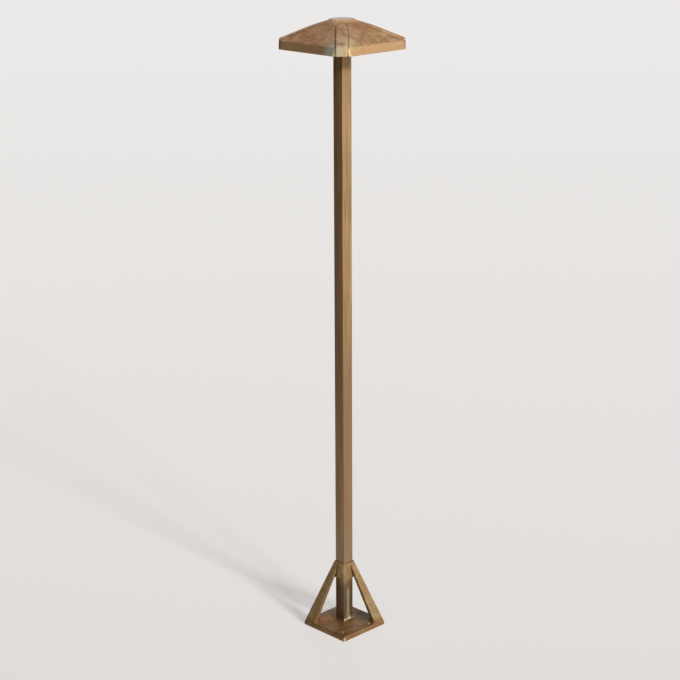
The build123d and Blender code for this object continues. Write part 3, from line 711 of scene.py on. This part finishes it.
def chip_rows():
    """Boxes in columns round a carrier and rows along it, with one more on its end."""
    tree, given, made = form("chip_rows", [
        ("Columns", "NodeSocketInt", 6), ("Rows", "NodeSocketInt", 3), ("Row Pitch", "NodeSocketFloat", 0.0032),
        ("Reach", "NodeSocketFloat", 0.0033), ("Middle Level", "NodeSocketFloat", 0.0),
        ("End Level", "NodeSocketFloat", 0.0), ("Thickness", "NodeSocketFloat", 0.0007),
        ("Width", "NodeSocketFloat", 0.0022), ("Height", "NodeSocketFloat", 0.0026)])
    upright = add(tree, "ShaderNodeCombineXYZ", {0: given["Thickness"], 1: given["Width"], 2: given["Height"]})
    chip = add(tree, "GeometryNodeMeshCube", {"Size": upright.outputs[0]})
    out = compute(tree, "MULTIPLY_ADD", given["Thickness"], 0.5, given["Reach"])
    below = compute(tree, "MULTIPLY", compute(tree, "SUBTRACT", given["Rows"], 1.0), -0.5)
    lowest = compute(tree, "MULTIPLY_ADD", below, given["Row Pitch"], given["Middle Level"])
    start = add(tree, "ShaderNodeCombineXYZ", {0: out, 2: lowest})
    step = add(tree, "ShaderNodeCombineXYZ", {2: given["Row Pitch"]})
    places = {"Count": given["Rows"], "Start Location": start.outputs[0], "Offset": step.outputs[0]}
    column = add(tree, "GeometryNodeMeshLine", places, mode="OFFSET")
    row_chips = add(tree, "GeometryNodeInstanceOnPoints", {"Points": column.outputs[0], "Instance": chip.outputs[0]})
    middle = add(tree, "GeometryNodeMeshLine", {"Count": given["Columns"], "Offset": (0, 0, 0)}, mode="OFFSET")
    order = compute(tree, "ADD", add(tree, "GeometryNodeInputIndex").outputs[0], 0.5)
    angle = compute(tree, "DIVIDE", compute(tree, "MULTIPLY", order, 2 * pi), given["Columns"])
    flat_turn = add(tree, "ShaderNodeCombineXYZ", {2: angle})
    turn = add(tree, "FunctionNodeEulerToRotation", {0: flat_turn.outputs[0]})
    column_chips = add(tree, "GeometryNodeInstanceOnPoints", {
        "Points": middle.outputs[0], "Instance": row_chips.outputs[0], "Rotation": turn.outputs[0]})
    lying = add(tree, "ShaderNodeCombineXYZ", {0: given["Height"], 1: given["Width"], 2: given["Thickness"]})
    end_chip = add(tree, "GeometryNodeMeshCube", {"Size": lying.outputs[0]})
    above = compute(tree, "MULTIPLY_ADD", given["Thickness"], 0.5, given["End Level"])
    end_place = add(tree, "ShaderNodeCombineXYZ", {2: above})
    end = add(tree, "GeometryNodeTransform", {"Geometry": end_chip.outputs[0], "Translation": end_place.outputs[0]})
    return completed(tree, given, made, [column_chips.outputs[0], end.outputs[0]])


def empty_piece(name):
    """A piece with no mesh yet, for a tree that makes it all."""
    return from_work(name, bmesh.new())


chip_tree = chip_rows()
white_plastic = moulded_plastic("white_moulded_plastic", seen(236, 236, 230), seen(214, 208, 190))
lamp_foot = softened("lamp_base", "lamp_foot", 0.0003)
place_piece(lamp_foot, "lamp", "white_plastic", white_plastic, "lamp_base")
contact_pins = softened("lamp_pins", "contact_pins", 0.00008)
place_piece(contact_pins, "lamp", "plated_steel", nickel, "lamp_pins")
chip_carrier = softened("lamp_core", "chip_carrier", 0.00025)
place_piece(chip_carrier, "lamp", "white_plastic", white_plastic, "lamp_core")
core_low, core_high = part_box("lamp_core")
core_reach = 0.0033
cup_depth = 0.00064
chip_places = dict(columns=6, rows=3, row_pitch=0.0032, middle_level=(core_low.z + core_high.z) / 2)
chip_cups = shaped(
    empty_piece("chip_cups"), chip_tree, white_plastic, reach=core_reach, end_level=core_high.z,
    thickness=cup_depth, width=0.0022, height=0.0026, **chip_places)
place_piece(chip_cups, "lamp", "white_plastic", white_plastic, "lamp_leds")
yellow_phosphor = phosphor()
chip_fillings = shaped(
    empty_piece("chip_fillings"), chip_tree, yellow_phosphor, reach=core_reach + cup_depth / 2,
    end_level=core_high.z + cup_depth / 2, thickness=0.00038, width=0.0017, height=0.0021, **chip_places)
place_piece(chip_fillings, "lamp", "light_chips", yellow_phosphor, "lamp_leds")
domed_cover = softened("lamp_cover", "domed_cover", 0.0002)
place_piece(domed_cover, "lamp", "clear_cover", clear_plastic(), "lamp_cover")


# Glass tube and its seals.
# A frosted glass tube with fire-polished ends. It stands on a grey silicone ring in a groove of the head
# plate, and a second ring on its top end is pressed by the ceiling of the hat.

def frosted_glass():
    """Glass etched on the inside, with faint clouds in the etching."""
    made, tree, shader, place = material("frosted_glass", transmission_weight=1.0, ior=1.47)
    cloud = spread(tree, noise(tree, place, 0.006, 4, 0.6, 0.5), 0.3, 0.7)
    tree.links.new(between(tree, cloud, seen(244, 248, 246), seen(232, 238, 236)), shader.inputs["Base Color"])
    tree.links.new(spread(tree, cloud, 0.0, 1.0, 0.38, 0.5), shader.inputs["Roughness"])
    textured(tree, shader, noise(tree, place, 0.0002, 2), 0.2, 0.00002)
    return made


glass_low, glass_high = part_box("lens_glass")
glass_bore = glass_high.x - 0.0024
glass_outline = wall_outline(glass_bore, glass_high.x, glass_low.z, glass_high.z, 0.0009, 6)
glass_tube = turned("glass_tube", glass_outline, hollow=True, steps=96)
place_piece(glass_tube, "hat", "frosted_glass", frosted_glass(), "lens_glass")
silicone = matt_rubber("grey_silicone", seen(150, 150, 146), seen(184, 182, 174), 0.5)
for node, name, body in (("lower_lens_seal", "lower_seal", "stand"), ("upper_lens_seal", "upper_seal", "hat")):
    seal_low, seal_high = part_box(node)
    seal_outline = wall_outline(glass_bore - 0.0004, seal_high.x, seal_low.z, seal_high.z, 0.0005)
    flat_seal = turned(name, seal_outline, hollow=True, steps=96)
    place_piece(flat_seal, body, "grey_silicone", silicone, node)


# Hat casting.
# A cast brass pyramid with a flared skirt, a flat raised band up each hip and a round flat cap. Its flat
# ceiling presses on the upper seal of the glass tube.

hat_low, hat_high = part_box("hat_casting")
seal_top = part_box("upper_lens_seal")[1].z
rim_half = hat_high.x
rim_facet = 0.025
brow_half = 0.06925
brow_facet = 0.017
skirt_height = 0.0125
roof_flat_half = 0.01589
roof_slope = (hat_high.z - hat_low.z - skirt_height) / (brow_half - roof_flat_half)
hip_slope = roof_slope / sqrt(2)
hat_wall = 0.003
brow_softness = 0.0015
brow_level = hat_low.z + skirt_height
brow_reach = (2 * sqrt(2) * brow_half - brow_facet) / 2
rim_reach = (2 * sqrt(2) * rim_half - rim_facet) / 2
cap_radius = 0.0192
cap_root = 0.0229
cap_slope = 1.45
cap_profile = [(-0.0034, 0.00002), (-0.0026, 0.0001), (-0.0018, 0.00025), (-0.001, 0.0005), (-0.0004, 0.0008),
               (0.0001, 0.0013), (0.0006, 0.0019), (0.0014, 0.0026), (0.0024, 0.0032)]
band_half = 0.00825
band_proud = 0.0019
band_skirt_proud = 0.0006
band_end = 0.0252
band_arch = 0.016
band_growth = 0.022
roof_dish = 0.0006
face_steps = 9
border_steps = [(0.0026, 0.0), (0.0017, -0.15), (0.0010, -0.25), (0.0005, -0.15), (0.0001, 0.15), (-0.0003, 0.8),
                (-0.0009, 1.0)]
groove_middle = 0.0009
groove_half = 0.0016
groove_dirt = 0.75
fan_steps = [0.0035, 0.0015, 0.0]
band_steps = [0.6, 0.25, 0.0]


def soft_least(first, second, width):
    """The lesser of two values, with a rounded change from one to the other."""
    overlap = max(width - abs(first - second), 0) / width
    return min(first, second) - overlap * overlap * width / 4


def band_width(reach, beyond):
    """Half the width of a band's outline at this distance from the middle of the hat, moved out by beyond."""
    past = (band_end + band_arch - reach) / (band_arch + beyond)
    return (band_half + beyond) * sqrt(max(1 - max(past, 0) ** 2, 0))


def beyond_band(reach, offset):
    """How far outside the outline of a band a point is."""
    past = max(band_end + band_arch - reach, 0)
    if past == 0:
        return offset - band_half
    share = hypot(past / band_arch, offset / band_half)
    steepness = hypot(past / band_arch ** 2, offset / band_half ** 2)
    return (share - 1) * share / steepness


def band_lift(reach):
    """Height of a band over the roof, which grows from its arched end."""
    grown = min(max((reach - band_end) / band_growth, 0), 1)
    return band_proud * (0.45 + 0.55 * grown * grown * (3 - 2 * grown))


def roof_height(x, y):
    """Height of the roof without its bands, the cap included."""
    face = brow_level + (brow_half - max(abs(x), abs(y))) * roof_slope
    facet = brow_level + (brow_reach - (abs(x) + abs(y)) / sqrt(2)) * hip_slope
    roof = soft_least(face, facet, 0.0004)
    cone = hat_high.z - max(hypot(x, y) - cap_radius, 0) * cap_slope
    return max(roof, cone)


def corner_offsets(half, reach, banded):
    """Distances from the hip at which a ring has points, each with its share of the band's height."""
    place = reach if banded else brow_reach
    fan = max(sqrt(2) * half - reach, band_width(place, border_steps[0][0]) + 0.0003)
    offsets = [(fan + step, 0.0) for step in fan_steps]
    before = border_steps[::-1]
    end_rise = float(np.interp(band_end - place, [step for step, rise in before], [rise for step, rise in before]))
    for order, (step, rise) in enumerate(border_steps):
        spare = 0.00002 * (len(border_steps) + len(band_steps) - order)
        width = band_width(place, step)
        offsets.append((width, rise) if width > spare else (spare, end_rise))
    inner = offsets[-1][0]
    return offsets + [(inner * share, offsets[-1][1]) for share in band_steps]


def hat_ring(half, reach, level=None, lift=0.0, out=0.0, round_off=0.0, banded=True, softness=0.0015):
    """Ring round the hat. Without a level it lies on the roof; the bands stand up by lift and out by out."""
    quarter = []
    offsets = corner_offsets(half, reach, banded)
    first = offsets[0][0]
    last_y = half - sqrt(2) * first
    for step in range(face_steps):
        quarter.append((half, last_y * step / face_steps, 0.0))
    sides = [(offset, rise) for offset, rise in offsets] + [(-offset, rise) for offset, rise in offsets[-2::-1]]
    for offset, rise in sides:
        along = soft_least(reach, sqrt(2) * half - abs(offset), softness) + out * rise
        quarter.append(((along + offset) / sqrt(2), (along - offset) / sqrt(2), rise))
    for step in range(face_steps - 1, 0, -1):
        quarter.append((last_y * step / face_steps, half, 0.0))
    ring = []
    for turn in range(4):
        for x, y, rise in quarter:
            flat_x = x + round_off * (cap_root * cos(atan2(y, x)) - x)
            flat_y = y + round_off * (cap_root * sin(atan2(y, x)) - y)
            height = roof_height(flat_x, flat_y) if level is None else level
            dish = 0.0
            if level is None and brow_half > half > cap_root:
                across = min(abs(x), abs(y)) / half
                down = (brow_half - half) / (brow_half - cap_root)
                dish = roof_dish * max(1 - 1.4 * across, 0) * sin(pi * down)
            point = Vector((flat_x, flat_y, height - dish + rise * lift))
            ring.append(Matrix.Rotation(pi / 2 * turn, 3, "Z") @ point)
    return ring


def scaled_ring(ring, radius, level):
    """Round ring with its points in the same directions as those of another ring."""
    return [Vector((point.x, point.y, 0)).normalized() * radius + Vector((0, 0, level)) for point in ring]


def hat_rings():
    """All the rings of the hat, from the middle of the cap over the skirt to the middle of the ceiling."""
    rim = hat_low.z
    root = hat_ring(cap_root, cap_root, None, 0.0, 0.0, 1.0)
    rings = [scaled_ring(root, radius, hat_high.z) for radius in (0.004, 0.010, 0.014)]
    for out, drop in cap_profile:
        rings.append(scaled_ring(root, cap_radius + out, hat_high.z - drop))
    rings.append(root)
    arch = [band_end + band_arch * (1 - cos(pi / 2 * step / 16)) for step in range(4, 17)]
    reaches = [band_end + step for step in (-0.0011, -0.0008, -0.0005, -0.0002, 0.0, 0.0002, 0.0005)] + arch
    reaches += list(np.linspace(band_end + band_arch, brow_reach - 0.0075, 14)[1:])
    for reach in reaches:
        half = brow_half + (reach - brow_reach) / sqrt(2)
        rings.append(hat_ring(half, reach, None, band_lift(reach)))
    for above in (0.0026, 0.0021, 0.0016, 0.0011, 0.0006, 0.0002, -0.0002, -0.0006, -0.0011, -0.0017, -0.0024, -0.0035,
                  -0.006, -0.0085, -0.0105, -0.0117):
        level = brow_level + above
        flare = (brow_level - level) / skirt_height
        half = soft_least(brow_half + flare * (rim_half - brow_half), brow_half - above / roof_slope, brow_softness)
        reach = soft_least(brow_reach + flare * (rim_reach - brow_reach), brow_reach - above / hip_slope,
                           brow_softness)
        down = min(max(flare, 0), 1)
        out = band_skirt_proud * min(max((0.0015 - above) / 0.002, 0), 1)
        rings.append(hat_ring(half, reach, level, band_proud * (1 - down), out, softness=0.0025))
    for inset, above in ((0.0, 0.0005), (0.00012, 0.00015), (0.00045, 0.0)):
        rings.append(hat_ring(rim_half - inset, rim_reach - inset, rim + above, 0.0, band_skirt_proud))
    inner_brow = brow_level - hat_wall * sqrt(1 + roof_slope ** 2) + hat_wall * roof_slope
    narrower = hat_wall * (sqrt(2) - 1)
    for cut, above in ((hat_wall - 0.0004, 0.0), (hat_wall - 0.0001, 0.0001), (hat_wall, 0.0004)):
        rings.append(hat_ring(rim_half - cut, rim_reach - cut, rim + above, banded=False))
    for share in (0.5, 0.9, 1.0):
        half = rim_half + (brow_half - rim_half) * share - hat_wall
        reach = rim_reach + (brow_reach - rim_reach) * share - hat_wall
        rings.append(hat_ring(half, reach, rim + (inner_brow - rim) * share, banded=False))
    for half in (0.0655, 0.058, 0.045, 0.034, 0.027):
        level = inner_brow + (brow_half - hat_wall - half) * roof_slope
        reach = sqrt(2) * half - brow_facet / 2 + narrower
        rings.append(hat_ring(half, reach, level, banded=False))
    ceiling_half = brow_half - hat_wall - (seal_top - inner_brow) / roof_slope
    rings.append(scaled_ring(root, 0.0222, seal_top - (0.0222 - ceiling_half) * roof_slope))
    for radius in (ceiling_half, 0.012, 0.005):
        rings.append(scaled_ring(root, radius, seal_top))
    return rings


hat_palette = [seen(196, 160, 117), seen(166, 127, 88), seen(150, 98, 60), seen(78, 56, 42), seen(158, 154, 128)]
skirt_tone = (seen(206, 172, 128), brow_level - 0.002, brow_level + 0.001, 0.5)
hat_marks_and_painted_light = [
    (seen(178, 184, 168), (0.052, -rim_half, brow_level - 0.008), 0.005, 0.022, 0.003, 0.85),
    (seen(196, 172, 130), (0.069, -0.069, brow_level - 0.006), 0.009, 0.018, 0.004, 0.5),
    (seen(206, 184, 148), (0.058, -0.044, brow_level + 0.008), 0.002, 0.018, 0.010, 0.5),
    # Painted highlight: pale tan over the cap and the slope just under it.
    (seen(224, 184, 140), (0, 0, hat_high.z + 0.06), 0.0655, 0.0690, 0.0, 0.38),
    # Painted reflection: pinkish grey of the sky on the flat top of the cap.
    (seen(214, 200, 194), (0, 0, hat_high.z + 0.06), 0.0622, 0.0627, 0.0, 0.75),
]
hat_brass = aged_brass("aged_cast_brass_hat", hat_palette, 0.021, hat_marks_and_painted_light, skirt_tone, 0.55)
pyramid_hat = skin("pyramid_hat", hat_rings())
groove_marks = pyramid_hat.data.attributes.new("groove", "FLOAT", "POINT")
for vertex, mark in zip(pyramid_hat.data.vertices, groove_marks.data):
    x, y, level = vertex.co
    reach = (abs(x) + abs(y)) / sqrt(2)
    on_top = level > roof_height(x, y) - 0.002 or reach > brow_reach - 0.0015
    beyond = beyond_band(reach, abs(abs(x) - abs(y)) / sqrt(2))
    mark.value = groove_dirt * max(1 - abs(beyond - groove_middle) / groove_half, 0) if on_top else 0.0
place_piece(pyramid_hat, "hat", "aged_brass_casting", hat_brass, "hat_casting")


# Screw pillars.
# Two turned brass pillars with a tapped hole at the bottom, brazed into round bosses that are cast inside
# the roof of the hat.

pillar_low, pillar_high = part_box("screw_pillars")
pillar_radius = 0.0042
boss_radius = 0.006
boss_edge = 0.0005
boss_sink = 0.0018
tenon_length = 0.0025
boss_level = pillar_high.z - tenon_length
pillar_place = pillar_high.x - pillar_radius


def boss(name, middle):
    """Round boss whose upper end is hidden in the wall of the roof."""
    rings = [circle(radius, boss_level + above, middle) for radius, above in (
        (pillar_radius, 0), (boss_radius - boss_edge, 0), (boss_radius - boss_edge * 0.3, boss_edge * 0.3),
        (boss_radius, boss_edge))]
    for point in circle(boss_radius, 0, middle):
        point.z = roof_height(point.x, point.y) - boss_sink
        rings.append(point)
    return skin(name, rings[:4] + [rings[4:]])


for side, name in ((1, "front_boss"), (-1, "rear_boss")):
    cast_boss = boss(name, (side * pillar_place, -side * pillar_place))
    place_piece(cast_boss, "hat", "aged_brass_casting", hat_brass, "hat_casting")
pillar_brass = turned_brass("turned_brass_pillars", seen(204, 168, 108), seen(160, 124, 74))
tapped_pillars = softened("screw_pillars", "tapped_pillars", 0.0003)
place_piece(tapped_pillars, "hat", "turned_brass", pillar_brass, "screw_pillars")


# Thumb screws.
# Two turned brass screws with a ridged head, each on a loose washer under the head plate. Their threads
# run up into the pillars, so the hat comes off once both are out.

def ridged_grip():
    """Straight ridges round the head of a thumb screw."""
    tree, given, made = form("ridged_grip", [
        ("Count", "NodeSocketInt", 30), ("Head Radius", "NodeSocketFloat", 0.0043),
        ("Ridge", "NodeSocketFloat", 0.0002), ("Length", "NodeSocketFloat", 0.004),
        ("Middle", "NodeSocketVector", (0, 0, 0))])
    rim = add(tree, "GeometryNodeMeshCircle", {"Vertices": given["Count"], "Radius": given["Head Radius"]})
    ridge = add(tree, "GeometryNodeMeshCylinder", {"Vertices": 8, "Radius": given["Ridge"], "Depth": given["Length"]})
    ridges = add(tree, "GeometryNodeInstanceOnPoints", {"Points": rim.outputs[0], "Instance": ridge.outputs[0]})
    moved = add(tree, "GeometryNodeTransform", {"Geometry": ridges.outputs[0], "Translation": given["Middle"]})
    return completed(tree, given, made, [given["Geometry"], moved.outputs[0]])


grip_tree = ridged_grip()
head_radius = 0.0043
head_edge = 0.0006
head_gap = 0.00002
grip_ridge = 0.00022
shank_ridge = 0.0002
shank_core = 0.00175


def thumb_screw(name, node, washer_node, middle, finish):
    """A thumb screw with a dished and ridged head and a rolled thread."""
    low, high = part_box(node)
    head_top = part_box(washer_node)[0].z - head_gap
    outline = [
        (0.0012, low.z + 0.0005), (0.0024, low.z + 0.0004), (0.0029, low.z + 0.0001), (0.0032, low.z),
        (head_radius - head_edge, low.z), (head_radius, low.z + head_edge), (head_radius, head_top - head_edge),
        (head_radius - head_edge, head_top), (shank_core + 0.0001, head_top), (shank_core, head_top + 0.0001),
        (shank_core, high.z - 0.0006), (shank_core - 0.0005, high.z)]
    screw = turned(name, outline, middle)
    centre = (middle[0], middle[1], (low.z + head_top) / 2)
    shaped(screw, grip_tree, finish, count=32, head_radius=head_radius, ridge=grip_ridge,
           length=head_top - low.z - 2 * head_edge, middle=centre)
    return shaped(screw, thread_tree, finish, core_radius=shank_core, ridge=shank_ridge, pitch=0.0007,
                  length=high.z - head_top - 0.0022, start=(middle[0], middle[1], head_top + 0.0012))


for side, end in ((1, "front"), (-1, "rear")):
    middle = (side * pillar_place, -side * pillar_place)
    screw_brass = turned_brass(f"turned_brass_{end}_screw", seen(214, 180, 118), seen(172, 136, 82), middle)
    screw_node = f"{end}_thumb_screw"
    washer_node = f"{end}_screw_washer"
    grip_screw = thumb_screw(f"{end}_grip_screw", screw_node, washer_node, middle, screw_brass)
    place_piece(grip_screw, f"{end}_screw", "turned_brass", screw_brass, screw_node)
    washer_low, washer_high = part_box(washer_node)
    washer_radius = (washer_high.x - washer_low.x) / 2
    washer_outline = wall_outline(0.00208, washer_radius, washer_low.z, washer_high.z, 0.0002)
    loose_washer = turned(f"{end}_loose_washer", washer_outline, middle, hollow=True)
    place_piece(loose_washer, f"{end}_washer", "turned_brass", screw_brass, washer_node)


# Floor, light and camera.
# A pale floor that is open from below, a low soft key from the right with a weaker one beside it, a dark flag
# on the left that the camera doesn't see, and a camera worked out from the edges of the post, foot and hat.

key_azimuth = radians(85)
key_height = radians(24)
second_azimuth = radians(76)
second_height = radians(26)
camera_azimuth = radians(45.436)
camera_yaw = radians(0.114)
camera_pitch = radians(16.915)
camera_roll = radians(0.249)
camera_distance = 2.5033
camera_height = 1.2296
focal_pixels = 1743.8
frame_pixels = 680
floor_reach = 40
floor_near = -0.35
floor_far = 7.0
flag_distance = 1.0
flag_width = 2.6
flag_height = 1.6
heading = camera_azimuth + camera_yaw
level_ahead = Vector((-sin(heading), cos(heading), 0))
right = Vector((cos(heading), sin(heading), 0))


def staged(name, corners, finish):
    """A flat piece of the studio."""
    mesh = bpy.data.meshes.new(name)
    mesh.from_pydata(corners, [], [tuple(range(len(corners)))])
    mesh.materials.append(finish)
    piece = bpy.data.objects.new(name, mesh)
    bpy.context.scene.collection.objects.link(piece)
    return piece


def direct_rays(tree):
    """1 where the camera, metal or glass looks straight at a thing."""
    rays = add(tree, "ShaderNodeLightPath").outputs
    seen_in_metal = compute(tree, "MAXIMUM", rays["Is Camera Ray"], rays["Is Glossy Ray"])
    return compute(tree, "MAXIMUM", seen_in_metal, rays["Is Transmission Ray"])


def floor_paper():
    """Mid-grey to the light, and paler to the camera, to metal and to glass, with a soft shadow kept."""
    made, tree, shader, place = material("floor_paper", roughness=0.9)
    direct = direct_rays(tree)
    tree.links.new(between(tree, direct, seen(170, 167, 163), seen(248, 246, 244)), shader.inputs["Base Color"])
    away = add(tree, "ShaderNodeVectorMath", {0: place, 1: level_ahead}, operation="DOT_PRODUCT").outputs["Value"]
    far = add(tree, "ShaderNodeMapRange", {0: away, 1: floor_near, 2: floor_far}).outputs[0]
    pale = between(tree, compute(tree, "POWER", far, 0.36), seen(231, 225, 222), seen(255, 255, 255))
    glow = add(tree, "ShaderNodeEmission", {"Color": pale})
    mixed = add(tree, "ShaderNodeMixShader", {0: compute(tree, "MULTIPLY", direct, 0.5)})
    tree.links.new(shader.outputs[0], mixed.inputs[1])
    tree.links.new(glow.outputs[0], mixed.inputs[2])
    from_below = add(tree, "ShaderNodeNewGeometry").outputs["Backfacing"]
    open_below = add(tree, "ShaderNodeMixShader", {0: from_below})
    tree.links.new(mixed.outputs[0], open_below.inputs[1])
    tree.links.new(add(tree, "ShaderNodeBsdfTransparent").outputs[0], open_below.inputs[2])
    tree.links.new(open_below.outputs[0], tree.nodes["Material Output"].inputs["Surface"])
    return made


def flag_cloth():
    """Dark grey cloth."""
    made, tree, shader, place = material("flag_cloth", roughness=1.0)
    shader.inputs["Base Color"].default_value = seen(82, 80, 80)
    return made


floor_corners = [(x * floor_reach, y * floor_reach, 0) for x, y in ((-1, -1), (1, -1), (1, 1), (-1, 1))]
floor = staged("floor", floor_corners, floor_paper())
flag_corners = []
for along, level in ((-1, 0), (1, 0), (1, flag_height), (-1, flag_height)):
    flag_corners.append(-right * flag_distance + level_ahead * (along * flag_width / 2) + Vector((0, 0, level)))
flag = staged("flag", flag_corners, flag_cloth())
flag.visible_camera = False
flag.visible_shadow = False

world = bpy.data.worlds.new("studio")
world.use_nodes = True
world_tree = world.node_tree
sky = world_tree.nodes["Background"]
sky.inputs["Color"].default_value = seen(238, 238, 240)
world_tree.links.new(spread(world_tree, direct_rays(world_tree), 0.0, 1.0, 0.22, 0.75), sky.inputs["Strength"])
bpy.context.scene.world = world


def lamp(name, azimuth, height, energy, width=8, in_metal=True):
    """A soft lamp far away, as wide as this many degrees, which metal mirrors or doesn't."""
    light = bpy.data.lights.new(name, "SUN")
    light.energy = energy
    light.angle = radians(width)
    light.color = (1.0, 0.97, 0.93)
    holder = bpy.data.objects.new(name, light)
    holder.visible_glossy = in_metal
    towards = Vector((sin(azimuth) * cos(height), -cos(azimuth) * cos(height), sin(height)))
    holder.rotation_euler = towards.to_track_quat("Z", "Y").to_euler()
    bpy.context.scene.collection.objects.link(holder)


lamp("key", key_azimuth, key_height, 2.45)
lamp("second_key", second_azimuth, second_height, 1.1)
lamp("back_fill", radians(225), radians(12), 0.5, 40, in_metal=False)

camera_data = bpy.data.cameras.new("camera")
camera_data.sensor_width = 36
camera_data.lens = focal_pixels / frame_pixels * camera_data.sensor_width
camera = bpy.data.objects.new("camera", camera_data)
ahead = level_ahead * cos(camera_pitch) - Vector((0, 0, sin(camera_pitch)))
turned_view = Matrix((right, right.cross(ahead), -ahead)).transposed().to_4x4()
place = Vector((sin(camera_azimuth) * camera_distance, -cos(camera_azimuth) * camera_distance, camera_height))
camera.matrix_world = Matrix.Translation(place) @ turned_view @ Matrix.Rotation(-camera_roll, 4, "Z")
bpy.context.scene.collection.objects.link(camera)
bpy.context.scene.camera = camera
bpy.context.scene.view_settings.view_transform = "Standard"
